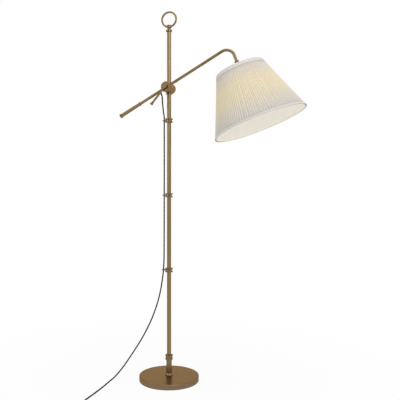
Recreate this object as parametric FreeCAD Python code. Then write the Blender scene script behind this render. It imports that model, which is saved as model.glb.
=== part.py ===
import FreeCAD, Part
import math
import os

# Bridge floor lamp: a round weighted base, a jointed upright with a ring on top, and a knuckle that
# slides, turns and tilts.  It carries a straight arm with a slim counterweight on one side and a
# pleated shade on the other.  Millimetres, +Z up.  The origin is the middle of the base's underside,
# on the upright's axis.  The arm lies over +X, a little in front (-Y) of the upright.

# ---- base ----
base_diameter = 254.0
base_height = 22.0
base_edge_round = 2.2
cover_wall = 1.5
pad_thickness = 1.8
pad_margin = 1.0
weight_gap = 0.6
nut_recess_radius = 17.0
nut_recess_depth = 10.0
nut_across_flats = 19.0
nut_thickness = 6.0
washer_radius = 14.0
washer_thickness = 2.0
centre_rod_diameter = 12.9
rod_clearance = 0.05
rod_bore_diameter = 9.0
rod_tail = 1.0

# ---- upright ----
pole_diameter = 18.0
pole_wall = 1.5
tube_clearance = 0.05
foot_height = 12.0
foot_radius = 17.0
foot_lip = 2.0
foot_curve_height = 3.0
sleeve_diameter = 23.3
sleeve_top_height = 87.5
pole_socket_depth = 47.5
pole_plug_height = 20.0
disc_diameter = 33.0
disc_thickness = 5.0
disc_gap = 7.5
disc_edge_round = 1.2
hub_diameter = 22.0
web_thickness = 4.5
lower_collar_diameter = 32.0
lower_collar_gap = 9.0
lower_disc_thickness = 6.0
lower_hub_diameter = 29.0
first_coupling_height = 469.2
coupling_spacing = 319.0
coupling_count = 3
joint_nipple_length = 40.0
pole_top_height = 1486.0

# ---- ring on top ----
flange_diameter = 26.0
flange_thickness = 8.5
neck_diameter = 13.0
neck_height = 8.0
seat_diameter = 21.5
seat_height = 12.0
ring_top_edge_round = 1.5
ring_outside_radius = 35.5
ring_wire_diameter = 8.0
ring_seat_depth = 11.5
ring_stud_length = 14.0
ring_clearance = 0.02

# ---- cord and its clips ----
cord_diameter = 6.4
cord_offset = 21.6
low_clip_extra = 3.2
clip_height = 5.5
clip_wall = 1.6
clip_clearance = 0.6
clip_tab_length = 1.6
clip_grip_clearance = 0.05
exit_straight = 12.6
clip_straight = 17.0
coil_straight = 30.0

# ---- knuckle ----
knuckle_height = 1244.9
arm_offset = 33.5
running_clearance = 0.05
bush_wall = 3.2
bush_length = 52.0
bush_lip = 1.8
bush_slot = 1.6
pole_clamp_diameter = 45.0
pole_clamp_front = 18.0
pole_clamp_rear = 27.0
drum_edge_round = 3.0
set_screw_diameter = 8.0
set_screw_recess = 0.5
set_screw_key_corner = 2.3
set_screw_key_depth = 3.5
stud_diameter = 8.0
stud_head_diameter = 16.0
stud_head_thickness = 2.4
friction_washer_diameter = 36.0
friction_washer_thickness = 1.2
face_gap = 0.3
arm_clamp_diameter = 45.0
arm_clamp_front_wall = 6.5
lever_angle = 49.6
lever_hub_diameter = 16.0
lever_hub_height = 11.0
lever_screw_diameter = 8.0
lever_length = 97.5
lever_root_diameter = 8.0
lever_tip_diameter = 14.0
lever_step = 0.6
lever_hub_edge_round = 2.0
lever_flare_start = 0.72
lever_flare_middle = 0.88
lever_tip_edge = 3.0

# ---- arm ----
arm_rise = 29.15
arm_diameter = 12.0
arm_wall = 1.0
arm_corner_reach = 314.6
arm_tip_length = 68.3
arm_bend_radius = 36.0
arm_rear_reach = 165.0
head_lean = 20.8

# ---- counterweight, measured from the knuckle towards its end ----
weight_start = 134.0
weight_length = 106.0
weight_socket_depth = 32.0
weight_neck_diameter = 13.6
weight_waist_diameter = 15.4
weight_end_diameter = 19.6
weight_flare_length = 22.0
weight_collar_diameter = 17.0
weight_collar_width = 5.0
weight_cap_thickness = 3.0
weight_collar_edge_round = 1.2

# ---- cord hole in the arm ----
cord_hole_reach = 34.0
grommet_shank_radius = 4.3
grommet_flange_radius = 5.2
grommet_flange_thickness = 1.8

# ---- lamp head, measured down its own axis from the arm's tip ----
head_nipple_diameter = 9.9
head_nipple_above = 14.0
head_nipple_below = 5.6
head_nipple_bore = 7.0
collar_diameter = 20.0
collar_thickness = 3.2
collar_edge_round = 1.0
cap_neck_diameter = 15.0
cap_neck_height = 10.0
cap_height = 24.0
cap_wall = 1.2
cap_bulge = 2.0
cap_bulge_place = 0.38
socket_diameter = 34.0
socket_length = 36.0
socket_wall = 2.2
socket_roof = 5.0
socket_flange_drop = 8.0
socket_flange_diameter = 42.0
socket_flange_thickness = 2.5
shade_ring_diameter = 44.0
shade_ring_height = 7.0
screw_shell_diameter = 28.4
screw_shell_wall = 0.6
screw_shell_length = 24.0
contact_diameter = 8.0
contact_height = 3.0
knob_drop = 8.4
knob_diameter = 6.6
knob_length = 7.5
knob_gap = 1.2
knob_shaft_diameter = 2.6
knob_shaft_clearance = 0.4
knob_shaft_length = 6.5
knob_flat_width = 2.8
knob_collar = 2.0
knob_edge_round = 0.8
knob_shaft_overlap = 1.0

# ---- shade ----
shade_drop = 32.6
shade_height = 242.1
shade_top_radius = 100.1
shade_bottom_radius = 194.3
pleat_count = 120
pleat_depth_top = 1.4
pleat_depth_bottom = 2.6
cover_thickness = 0.9
trim_clearance = 0.05
trim_thickness = 0.5
top_trim_height = 17.0
bottom_trim_height = 9.0
shade_wire_diameter = 3.0
wire_clearance = 0.3
rib_count = 6
spider_arm_count = 3
spider_hub_outer_diameter = 48.0
lining_thickness = 0.5
lining_gap = 0.4
spider_arm_share = 0.98
rib_share = 0.85

# ---- bulb ----
bulb_diameter = 60.0
bulb_glass_length = 84.0
bulb_neck_diameter = 27.0
bulb_base_diameter = 26.0
bulb_base_length = 23.0
bulb_gap = 0.6
bulb_wall = 1.0
bulb_neck_length = 6.0
bulb_base_taper = 6.0
bulb_base_tip_radius = 4.5

# ---- coil of spare cord, its tie and the plug ----
coil_centre = (-193.4, -418.0)
coil_lift = 1.0
coil_outer_radius = 41.9
coil_gap = 0.5
coil_half_turns_in = 6
coil_half_turns_out = 5
coil_lead = 7.0
tie_width = 7.0
tie_thickness = 0.9
tie_clearance = 0.5
plug_length = 34.0
plug_width = 26.0
plug_relief_length = 22.0
plug_relief_diameter = 9.5
plug_relief_lip = 0.4
plug_shoulder = 0.55
plug_corner_share = 0.35
pin_length = 17.0
pin_spacing = 12.7
pin_width = 6.3
pin_thickness = 1.5

# Route of the hanging cord from the arm to the upper clip, and from the lowest clip over the floor.
upper_route = [
    (-20.3, -30.2, 1193.0),
    (-21.5, -20.5, 1169.0),
    (-22.7, -8.5, 1145.0),
]
lower_route = [
    (-21.6, 0.0, 540.0),
    (-24.3, 0.0, 474.0),
    (-29.6, -0.8, 428.0),
    (-37.6, -2.6, 378.0),
    (-51.0, -5.6, 322.0),
    (-76.5, -9.4, 252.0),
    (-113.5, -14.0, 178.0),
    (-161.5, -17.0, 103.0),
    (-200.0, -28.0, 44.0),
    (-226.0, -55.0, 8.0),
    (-232.0, -96.0, 3.2),
    (-230.0, -166.0, 3.2),
    (-231.8, -248.0, 3.2),
    (-235.1, -330.0, 3.8),
]

# ---- sizes worked out from the ones above ----
base_radius = base_diameter / 2
pole_radius = pole_diameter / 2
pole_inner_radius = pole_radius - pole_wall
tube_hole_radius = pole_radius + tube_clearance
rod_radius = centre_rod_diameter / 2
rod_hole_radius = rod_radius + rod_clearance
nipple_radius = pole_inner_radius - tube_clearance
pole_bottom = sleeve_top_height - pole_socket_depth
coupling_heights = [first_coupling_height + i * coupling_spacing for i in range(coupling_count)]
top_clip_height = coupling_heights[-1]
cord_radius = cord_diameter / 2
clip_offsets = [cord_offset + low_clip_extra] + [cord_offset] * (coupling_count - 1)
disc_radius = disc_diameter / 2
hub_radius = hub_diameter / 2
flange_top = pole_top_height + flange_thickness
neck_top = flange_top + neck_height
ring_wire_radius = ring_wire_diameter / 2
ring_mean_radius = ring_outside_radius - ring_wire_radius
seat_top = neck_top + seat_height
ring_centre_height = seat_top - ring_seat_depth + ring_outside_radius
bush_bore_radius = pole_radius + running_clearance
bush_radius = bush_bore_radius + bush_wall
bush_hole_radius = bush_radius + running_clearance
arm_radius = arm_diameter / 2
arm_hole_radius = arm_radius + tube_clearance
arm_clamp_rear = pole_clamp_front + friction_washer_thickness + face_gap
arm_clamp_front = arm_offset + arm_radius + arm_clamp_front_wall
arm_turn = arm_rise + 90.0 - head_lean
bend_tangent = arm_bend_radius * math.tan(math.radians(arm_turn / 2))
head_nipple_radius = head_nipple_diameter / 2
socket_radius = socket_diameter / 2
cap_bottom = collar_thickness + cap_height
socket_bottom = cap_bottom + socket_length
flange_seat = cap_bottom + socket_flange_drop
spider_drop = flange_seat + socket_flange_thickness
wire_radius = shade_wire_diameter / 2
slope = (shade_bottom_radius - shade_top_radius) / shade_height
coil_pitch = cord_diameter + coil_gap
coil_level = cord_radius + coil_lift
coil_turn_radii = [coil_outer_radius - i * coil_pitch / 2 for i in range(coil_half_turns_in)]
coil_inner_radius = coil_turn_radii[-1] - coil_pitch / 2
coil_return_radii = [coil_inner_radius + (i + 1) * coil_pitch / 2 for i in range(coil_half_turns_out)]


def vec(x, y, z):
    return FreeCAD.Vector(x, y, z)


def save(name, shape):
    """Write one sub-part."""
    shape.exportStep("parts/" + name + ".step")


def turned(profile):
    """Revolve a closed outline of (radius, z) points about the Z axis."""
    points = [vec(r, 0, z) for r, z in profile]
    wire = Part.makePolygon(points + [points[0]])
    return Part.Face(wire).revolve(vec(0, 0, 0), vec(0, 0, 1), 360)


def curved(profile):
    """Revolve an outline whose items are (radius, z) corners, or (via, end) pairs for an arc."""
    start = profile[0]
    here = start
    edges = []
    for item in profile[1:] + [start]:
        if isinstance(item[0], tuple):
            via, end = item
            arc = Part.Arc(vec(here[0], 0, here[1]), vec(via[0], 0, via[1]), vec(end[0], 0, end[1]))
            edges.append(arc.toShape())
        else:
            end = item
            edges.append(Part.LineSegment(vec(here[0], 0, here[1]), vec(end[0], 0, end[1])).toShape())
        here = end
    return Part.Face(Part.Wire(edges)).revolve(vec(0, 0, 0), vec(0, 0, 1), 360)


def ring_solid(outer_radius, bore_radius, bottom, top):
    """A plain ring or tube about the Z axis."""
    body = Part.makeCylinder(outer_radius, top - bottom, vec(0, 0, bottom))
    if bore_radius <= 0:
        return body
    return body.cut(Part.makeCylinder(bore_radius, top - bottom + 2, vec(0, 0, bottom - 1)))


def rounded_drum(radius, bottom, top, edge):
    """A solid drum about the Z axis with rounded rims."""
    k = edge * (1 - math.sqrt(0.5))
    return curved([
        (0, bottom),
        (radius - edge, bottom),
        ((radius - k, bottom + k), (radius, bottom + edge)),
        (radius, top - edge),
        ((radius - k, top - k), (radius - edge, top)),
        (0, top),
    ])


def facing_front(shape):
    """Turn a shape made about +Z so that its axis runs towards the front (-Y)."""
    return shape.rotated(vec(0, 0, 0), vec(1, 0, 0), 90)


def at_knuckle(shape):
    return shape.translated(vec(0, 0, knuckle_height))


def on_arm(shape):
    """Place a shape drawn along the arm: +X to the shade, the pivot at the origin."""
    tilted = shape.rotated(vec(0, 0, 0), vec(0, 1, 0), -arm_rise)
    return tilted.translated(vec(0, -arm_offset, knuckle_height))


def arm_tip():
    """The end of the arm's tube, where the lamp head starts."""
    rise = math.radians(arm_rise)
    lean = math.radians(head_lean)
    x = arm_corner_reach * math.cos(rise) + arm_tip_length * math.sin(lean)
    z = arm_corner_reach * math.sin(rise) - arm_tip_length * math.cos(lean)
    return vec(x, -arm_offset, knuckle_height + z)


def on_head(shape):
    """Place a shape drawn down the lamp head's axis: the arm's tip at the origin, the shade below."""
    return shape.rotated(vec(0, 0, 0), vec(0, 1, 0), -head_lean).translated(arm_tip())


def pipe(edges, radius):
    """Sweep a round section along a tangent path."""
    wire = Part.Wire(edges)
    start = wire.Edges[0]
    direction = start.tangentAt(start.FirstParameter)
    circle = Part.Circle(start.valueAt(start.FirstParameter), direction, radius)
    return wire.makePipeShell([Part.Wire([circle.toShape()])], True, False)


def rounded_route(points, label):
    """Straight runs joined by tangent arcs, each as large as its two runs allow."""
    edges = []
    radii = []
    here = points[0]
    for i in range(1, len(points) - 1):
        back = points[i - 1] - points[i]
        ahead = points[i + 1] - points[i]
        turn = math.pi - back.getAngle(ahead)
        cut = 0.45 * min(back.Length, ahead.Length)
        radius = cut / math.tan(turn / 2)
        back.normalize()
        ahead.normalize()
        first = points[i] + back * cut
        last = points[i] + ahead * cut
        middle = (first + last) * 0.5
        inward = middle - points[i]
        depth = radius * (1 / math.cos(turn / 2) - 1)
        inward.normalize()
        edges.append(Part.LineSegment(here, first).toShape())
        edges.append(Part.Arc(first, points[i] + inward * depth, last).toShape())
        radii.append(round(radius, 1))
        here = last
    edges.append(Part.LineSegment(here, points[-1]).toShape())
    print(label, "arc radii", radii)
    return edges


def biarc(start, start_way, end, end_way):
    """Two tangent arcs from one point and direction to another."""
    chord = end - start
    both = start_way + end_way
    spread = 2 * (1 - start_way.dot(end_way))
    reach = chord.dot(both)
    d = (math.sqrt(reach * reach + spread * chord.dot(chord)) - reach) / spread
    first_corner = start + start_way * d
    last_corner = end - end_way * d
    join = (first_corner + last_corner) * 0.5
    arcs = []
    for a, corner, b in ((start, first_corner, join), (join, last_corner, end)):
        middle = (a + b) * 0.5
        share = (b - a).Length / (2 * d)
        arcs.append(Part.Arc(a, middle + (corner - middle) * (share / (1 + share)), b).toShape())
    return arcs


def report_tube(label, solid, edges, radius):
    length = sum(edge.Length for edge in edges)
    expected = math.pi * radius ** 2 * length
    print(label, "length", round(length, 1), "volume ratio", round(solid.Volume / expected, 5))


# ---------------------------------------------------------------- base
def make_base():
    inner = base_radius - cover_wall
    edge = base_edge_round
    k = edge * (1 - math.sqrt(0.5))
    cover = curved([
        (rod_hole_radius, base_height - cover_wall),
        (inner, base_height - cover_wall),
        (inner, pad_thickness),
        (base_radius, pad_thickness),
        (base_radius, base_height - edge),
        ((base_radius - k, base_height - k), (base_radius - edge, base_height)),
        (rod_hole_radius, base_height),
    ])
    weight = turned([
        (rod_hole_radius, pad_thickness + nut_recess_depth),
        (nut_recess_radius, pad_thickness + nut_recess_depth),
        (nut_recess_radius, pad_thickness),
        (inner - weight_gap, pad_thickness),
        (inner - weight_gap, base_height - cover_wall),
        (rod_hole_radius, base_height - cover_wall),
    ])
    pad = ring_solid(base_radius - pad_margin, 0, 0, pad_thickness)
    washer_top = pad_thickness + nut_recess_depth
    nut_top = washer_top - washer_thickness
    corner = nut_across_flats / math.sqrt(3)
    hexagon = [vec(corner * math.cos(math.pi / 3 * i), corner * math.sin(math.pi / 3 * i), 0)
               for i in range(7)]
    nut = Part.Face(Part.makePolygon(hexagon)).extrude(vec(0, 0, nut_thickness))
    nut = nut.cut(Part.makeCylinder(rod_hole_radius, nut_thickness + 2, vec(0, 0, -1)))
    save("base_cover", cover)
    save("base_weight", weight)
    save("base_pad", pad)
    save("base_washer", ring_solid(washer_radius, rod_hole_radius, nut_top, washer_top))
    save("base_nut", nut.translated(vec(0, 0, nut_top - nut_thickness)))
    rod_bottom = nut_top - nut_thickness - rod_tail
    rod_top = pole_bottom + pole_plug_height
    save("centre_rod", ring_solid(rod_radius, rod_bore_diameter / 2, rod_bottom, rod_top))


# ---------------------------------------------------------------- upright
def make_foot_and_sleeve():
    foot_top = base_height + foot_height
    sleeve_radius = sleeve_diameter / 2
    via = (sleeve_radius + 0.3 * (foot_radius - sleeve_radius), base_height + foot_lip + foot_curve_height)
    foot = curved([
        (rod_hole_radius, base_height),
        (foot_radius, base_height),
        (foot_radius, base_height + foot_lip),
        (via, (sleeve_radius, foot_top)),
        (rod_hole_radius, foot_top),
    ])
    sleeve = ring_solid(sleeve_radius, tube_hole_radius, foot_top, sleeve_top_height)
    plug = ring_solid(nipple_radius, rod_hole_radius, pole_bottom, pole_bottom + pole_plug_height)
    save("stem_foot", foot)
    save("lower_sleeve", sleeve)
    save("pole_plug", plug)


def double_disc(disc_r, hub_r, thickness, gap, edge):
    """Two round-edged discs with a hub between them, from z = 0 up."""
    k = edge * (1 - math.sqrt(0.5))
    top = 2 * thickness + gap
    outline = [(0, 0)]
    for low in (0, thickness + gap):
        high = low + thickness
        outline += [
            (disc_r - edge, low),
            ((disc_r - k, low + k), (disc_r, low + edge)),
            (disc_r, high - edge),
            ((disc_r - k, high - k), (disc_r - edge, high)),
        ]
        if low == 0:
            outline += [(hub_r, high), (hub_r, high + gap)]
    outline.append((0, top))
    return curved(outline)


def make_lower_collar():
    height = 2 * lower_disc_thickness + lower_collar_gap
    body = double_disc(lower_collar_diameter / 2, lower_hub_diameter / 2,
                       lower_disc_thickness, lower_collar_gap, disc_edge_round)
    body = body.cut(Part.makeCylinder(tube_hole_radius, height + 2, vec(0, 0, -1)))
    save("lower_collar", body.translated(vec(0, 0, sleeve_top_height)))


def make_couplings():
    """Each coupling holds the ends of two tubes, with a nipple through its web."""
    height = 2 * disc_thickness + disc_gap
    socket = (height - web_thickness) / 2
    body = double_disc(disc_radius, hub_radius, disc_thickness, disc_gap, disc_edge_round)
    body = body.cut(Part.makeCylinder(tube_hole_radius, socket + 1, vec(0, 0, -1)))
    body = body.cut(Part.makeCylinder(tube_hole_radius, socket + 1, vec(0, 0, height - socket)))
    body = body.cut(Part.makeCylinder(pole_inner_radius, height + 2, vec(0, 0, -1)))
    nipples = []
    for i, centre in enumerate(coupling_heights):
        save("coupling_%d" % (i + 1), body.translated(vec(0, 0, centre - height / 2)))
        half = joint_nipple_length / 2
        nipples.append(ring_solid(nipple_radius, rod_bore_diameter / 2, centre - half, centre + half))
    save("coupling_nipples", Part.makeCompound(nipples))


def make_poles():
    ends = [pole_bottom]
    for centre in coupling_heights:
        ends += [centre - web_thickness / 2, centre + web_thickness / 2]
    ends.append(pole_top_height)
    for i in range(coupling_count + 1):
        tube = ring_solid(pole_radius, pole_inner_radius, ends[2 * i], ends[2 * i + 1])
        save("pole_tube_%d" % (i + 1), tube)


def make_ring_top():
    """Flange and neck in one turned piece with a stud into the tube, and the ring in its seat."""
    stud_bottom = pole_top_height - ring_stud_length
    flange_r = flange_diameter / 2
    neck_r = neck_diameter / 2
    seat_r = seat_diameter / 2
    edge = ring_top_edge_round
    k = edge * (1 - math.sqrt(0.5))
    body = curved([
        (0, stud_bottom),
        (nipple_radius, stud_bottom),
        (nipple_radius, pole_top_height),
        (flange_r - edge, pole_top_height),
        ((flange_r - k, pole_top_height + k), (flange_r, pole_top_height + edge)),
        (flange_r, flange_top - edge),
        ((flange_r - k, flange_top - k), (flange_r - edge, flange_top)),
        (neck_r + edge, flange_top),
        ((neck_r + 0.4, flange_top + 0.4 * neck_height), (neck_r, flange_top + 0.6 * neck_height)),
        (neck_r, neck_top),
        (seat_r - edge, neck_top),
        ((seat_r - k, neck_top + k), (seat_r, neck_top + edge)),
        (seat_r, seat_top - edge),
        ((seat_r - k, seat_top - k), (seat_r - edge, seat_top)),
        (0, seat_top),
    ])
    centre = vec(0, 0, ring_centre_height)
    ring = Part.makeTorus(ring_mean_radius, ring_wire_radius, centre, vec(0, 1, 0))
    groove = Part.makeTorus(ring_mean_radius, ring_wire_radius + ring_clearance, centre, vec(0, 1, 0))
    save("finial_seat", body.cut(groove))
    save("finial_ring", ring)


# ---------------------------------------------------------------- cord clips
def make_clips():
    """A spring clip grips each hub and loops round the cord."""
    hug = hub_radius + clip_grip_clearance
    band = hug + clip_wall
    loop_bore = cord_radius + clip_clearance
    loop = loop_bore + clip_wall
    for i, centre in enumerate(coupling_heights):
        offset = clip_offsets[i]
        bridge_length = offset - loop_bore
        bridge = Part.makeBox(bridge_length, 2 * clip_wall, clip_height, vec(-bridge_length, -clip_wall, 0))
        eye = Part.makeCylinder(loop, clip_height, vec(-offset, 0, 0))
        tab_length = clip_wall + clip_tab_length
        tab_start = offset + loop_bore
        tab = Part.makeBox(tab_length, 2 * clip_wall, clip_height,
                           vec(-tab_start - tab_length, -clip_wall, 0))
        body = Part.makeCylinder(band, clip_height).fuse([bridge, eye, tab])
        body = body.cut(Part.makeCylinder(hug, clip_height + 2, vec(0, 0, -1)))
        body = body.cut(Part.makeCylinder(loop_bore, clip_height + 2, vec(-offset, 0, -1)))
        slit = Part.makeBox(band + 2, 2 * clip_wall, clip_height + 2, vec(0, -clip_wall, -1))
        body = body.cut(slit).removeSplitter()
        save("cord_clip_%d" % (i + 1), body.translated(vec(0, 0, centre - clip_height / 2)))


# ---------------------------------------------------------------- knuckle
def make_bush():
    """Split bush that slides on the upright; the pole clamp turns on it."""
    half = bush_length / 2
    body = ring_solid(bush_radius, bush_bore_radius, -half, half)
    body = body.fuse(ring_solid(bush_radius + bush_lip, bush_bore_radius, -half, -half + bush_lip))
    body = body.removeSplitter()
    slot = Part.makeBox(bush_radius + bush_lip + 1, bush_slot, bush_length + 2,
                        vec(0, -bush_slot / 2, -half - 1))
    save("slide_bush", at_knuckle(body.cut(slot)))


def make_pole_clamp():
    """Drum that holds the upright's bush; its axis lies level, across the arm."""
    radius = pole_clamp_diameter / 2
    drum = facing_front(rounded_drum(radius, -pole_clamp_rear, pole_clamp_front, drum_edge_round))
    drum = drum.cut(Part.makeCylinder(bush_hole_radius, 2 * radius + 4, vec(0, 0, -radius - 2)))
    stud_hole = facing_front(Part.makeCylinder(stud_diameter / 2, pole_clamp_front + 2))
    screw_hole = facing_front(Part.makeCylinder(set_screw_diameter / 2, pole_clamp_rear + 2,
                                                vec(0, 0, -pole_clamp_rear - 2)))
    save("pole_clamp", at_knuckle(drum.cut(stud_hole).cut(screw_hole)))
    screw_inner = bush_radius + face_gap
    screw_length = pole_clamp_rear - screw_inner - set_screw_recess
    screw = Part.makeCylinder(set_screw_diameter / 2 - running_clearance, screw_length,
                              vec(0, 0, -screw_inner - screw_length))
    corner = set_screw_key_corner
    hexagon = [vec(corner * math.cos(math.pi / 3 * i), corner * math.sin(math.pi / 3 * i),
                   -screw_inner - screw_length - 1) for i in range(7)]
    key = Part.Face(Part.makePolygon(hexagon)).extrude(vec(0, 0, set_screw_key_depth + 1))
    save("pole_lock_screw", at_knuckle(facing_front(screw.cut(key))))


def make_pivot():
    """Stud between the two drums, and the washer that the arm clamp turns against."""
    head_space = arm_offset - arm_radius - face_gap
    stud_inner = bush_radius + face_gap
    stud = Part.makeCylinder(stud_diameter / 2 - running_clearance, head_space - stud_inner,
                             vec(0, 0, stud_inner))
    head = Part.makeCylinder(stud_head_diameter / 2, stud_head_thickness,
                             vec(0, 0, head_space - stud_head_thickness))
    save("pivot_stud", at_knuckle(facing_front(stud.fuse(head).removeSplitter())))
    washer = ring_solid(friction_washer_diameter / 2, stud_diameter / 2 + running_clearance,
                        pole_clamp_front, pole_clamp_front + friction_washer_thickness)
    save("friction_washer", at_knuckle(facing_front(washer)))


def make_arm_clamp():
    """Drum that the arm's tube passes through."""
    radius = arm_clamp_diameter / 2
    drum = facing_front(rounded_drum(radius, arm_clamp_rear, arm_clamp_front, drum_edge_round))
    drum = drum.translated(vec(0, arm_offset, 0))
    tube_hole = Part.makeCylinder(arm_hole_radius, 2 * radius + 4, vec(-radius - 2, 0, 0), vec(1, 0, 0))
    drum = drum.cut(tube_hole)
    stud_hole = facing_front(Part.makeCylinder(stud_diameter / 2, arm_offset))
    stud_hole = stud_hole.translated(vec(0, arm_offset, 0))
    head_depth = arm_radius + face_gap + stud_head_thickness + face_gap
    head_hole = facing_front(Part.makeCylinder(stud_head_diameter / 2 + face_gap, head_depth,
                                               vec(0, 0, -head_depth)))
    screw_hole = facing_front(Part.makeCylinder(lever_screw_diameter / 2, arm_clamp_front))
    save("arm_clamp", on_arm(drum.cut(stud_hole).cut(head_hole).cut(screw_hole)))


def make_lever():
    """Screw, hub and tapered handle in one piece; the screw bears on the arm's tube."""
    inner = arm_offset + arm_radius + face_gap
    face = arm_clamp_front + face_gap
    screw = Part.makeCylinder(lever_screw_diameter / 2 - running_clearance, face - inner, vec(0, 0, inner))
    hub = rounded_drum(lever_hub_diameter / 2, face, face + lever_hub_height, lever_hub_edge_round)
    tip_radius = lever_tip_diameter / 2
    root_radius = lever_root_diameter / 2
    flare_start = lever_flare_start * lever_length
    handle = curved([
        (0, 0),
        (root_radius, 0),
        (root_radius + lever_step, flare_start),
        ((root_radius + 1.5 * lever_step, lever_flare_middle * lever_length),
         (tip_radius, lever_length - lever_tip_edge)),
        ((tip_radius - 0.2 * lever_tip_edge, lever_length - 0.25 * lever_tip_edge),
         (tip_radius - 0.8 * lever_tip_edge, lever_length)),
        (0, lever_length),
    ])
    handle = handle.rotated(vec(0, 0, 0), vec(0, 1, 0), -90 - lever_angle)
    handle = handle.translated(vec(0, -face - lever_hub_height / 2, 0))
    body = facing_front(screw.fuse(hub)).fuse(handle).removeSplitter()
    save("lock_lever", at_knuckle(body))


# ---------------------------------------------------------------- arm
def arm_path():
    """The arm's centre line, drawn along +X and bent down at its front."""
    corner = vec(arm_corner_reach, 0, 0)
    turn = math.radians(arm_turn)
    away = vec(math.cos(turn), 0, -math.sin(turn))
    first = corner - vec(bend_tangent, 0, 0)
    last = corner + away * bend_tangent
    tip = corner + away * arm_tip_length
    inward = (first + last) * 0.5 - corner
    inward.normalize()
    depth = arm_bend_radius * (1 / math.cos(turn / 2) - 1)
    return [
        Part.LineSegment(vec(-arm_rear_reach, 0, 0), first).toShape(),
        Part.Arc(first, corner + inward * depth, last).toShape(),
        Part.LineSegment(last, tip).toShape(),
    ]


def make_arm_tube():
    path = arm_path()
    tube = pipe(path, arm_radius).cut(pipe(path, arm_radius - arm_wall))
    hole = Part.makeCylinder(grommet_shank_radius + tube_clearance, 2 * arm_radius,
                             vec(-cord_hole_reach, 0, 0), vec(0, 0, -1))
    save("arm_tube", on_arm(tube.cut(hole)))


def make_grommet():
    top = -arm_radius + arm_wall + 1.0
    low = -arm_radius - grommet_flange_thickness - 0.2
    shank = Part.makeCylinder(grommet_shank_radius, top - low, vec(-cord_hole_reach, 0, low))
    flange = Part.makeCylinder(grommet_flange_radius, grommet_flange_thickness, vec(-cord_hole_reach, 0, low))
    save("cord_grommet", on_arm(shank.fuse(flange).removeSplitter()))
    return low


def make_counterweight():
    """Collar, turned body with a flared end, and its end cap, all on the arm's rear end."""
    socket_end = weight_start + weight_socket_depth
    end = weight_start + weight_length
    neck = weight_neck_diameter / 2
    waist = weight_waist_diameter / 2
    flare = weight_end_diameter / 2
    flare_start = end - weight_flare_length
    body = curved([
        (0, socket_end),
        (arm_hole_radius, socket_end),
        (arm_hole_radius, weight_start + weight_collar_width),
        (neck, weight_start + weight_collar_width),
        ((neck + 0.5 * (waist - neck) + 0.15, 0.5 * (weight_start + flare_start)), (waist, flare_start)),
        ((waist + 0.35, end - 0.45 * weight_flare_length), (flare, end - weight_cap_thickness)),
        (0, end - weight_cap_thickness),
    ])
    collar = rounded_drum(weight_collar_diameter / 2, weight_start, weight_start + weight_collar_width,
                          weight_collar_edge_round)
    collar = collar.cut(Part.makeCylinder(arm_hole_radius, weight_collar_width + 2,
                                          vec(0, 0, weight_start - 1)))
    cap = curved([
        (0, end - weight_cap_thickness),
        (flare, end - weight_cap_thickness),
        ((flare - 0.4, end - 0.8), (flare - 2.0, end)),
        (0, end),
    ])
    pieces = {"counterweight": body, "counterweight_collar": collar, "counterweight_cap": cap}
    for name, shape in pieces.items():
        save(name, on_arm(shape.rotated(vec(0, 0, 0), vec(0, 1, 0), -90)))


# ---------------------------------------------------------------- lamp head
def make_head_fixings():
    nipple = ring_solid(head_nipple_radius, head_nipple_bore / 2, -head_nipple_below, head_nipple_above)
    collar = rounded_drum(collar_diameter / 2, -collar_thickness, 0, collar_edge_round)
    collar = collar.cut(Part.makeCylinder(head_nipple_radius + rod_clearance, 20, vec(0, 0, -10)))
    save("head_nipple", on_head(nipple))
    save("head_collar", on_head(collar))


def make_socket():
    """Bell-shaped cap, phenolic body with a shade flange, screw shell, contact and shade ring."""
    cap_top = -collar_thickness
    cap_low = -cap_bottom
    neck_low = cap_top - cap_neck_height
    neck_r = cap_neck_diameter / 2
    hole = head_nipple_radius + rod_clearance
    bell = cap_height - cap_neck_height
    belly = ((socket_radius - cap_bulge, neck_low - cap_bulge_place * bell), (socket_radius, cap_low))
    inner_r = socket_radius - cap_wall
    inner_neck = neck_r - cap_wall
    inner_belly = ((inner_r - cap_bulge, neck_low - cap_bulge_place * bell - cap_wall),
                   (inner_neck, neck_low - cap_wall))
    cap = curved([
        (hole, cap_top),
        (neck_r, cap_top),
        (neck_r, neck_low),
        belly,
        (inner_r, cap_low),
        inner_belly,
        (inner_neck, cap_top - cap_wall),
        (hole, cap_top - cap_wall),
    ])
    knob_hole = Part.makeCylinder(knob_shaft_diameter / 2 + knob_shaft_clearance, socket_radius,
                                  vec(0, 0, -knob_drop), vec(-1, 0, 0))
    save("socket_cap", on_head(cap.cut(knob_hole)))
    body_r = socket_radius
    bore = body_r - socket_wall
    flange_low = -spider_drop
    body = turned([
        (0, cap_low),
        (body_r, cap_low),
        (body_r, -flange_seat),
        (socket_flange_diameter / 2, -flange_seat),
        (socket_flange_diameter / 2, flange_low),
        (body_r, flange_low),
        (body_r, -socket_bottom),
        (bore, -socket_bottom),
        (bore, cap_low - socket_roof),
        (0, cap_low - socket_roof),
    ])
    shell_top = cap_low - socket_roof - contact_height
    shell_r = screw_shell_diameter / 2
    shell = ring_solid(shell_r, shell_r - screw_shell_wall, shell_top - screw_shell_length,
                       cap_low - socket_roof)
    contact = Part.makeCylinder(contact_diameter / 2, contact_height, vec(0, 0, shell_top))
    ring_top = flange_low - shade_wire_diameter
    ring = ring_solid(shade_ring_diameter / 2, body_r + tube_clearance,
                      ring_top - shade_ring_height, ring_top)
    save("socket_body", on_head(body))
    save("screw_shell", on_head(shell))
    save("centre_contact", on_head(contact))
    save("shade_ring", on_head(ring))
    return shell_top, ring_top


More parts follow.
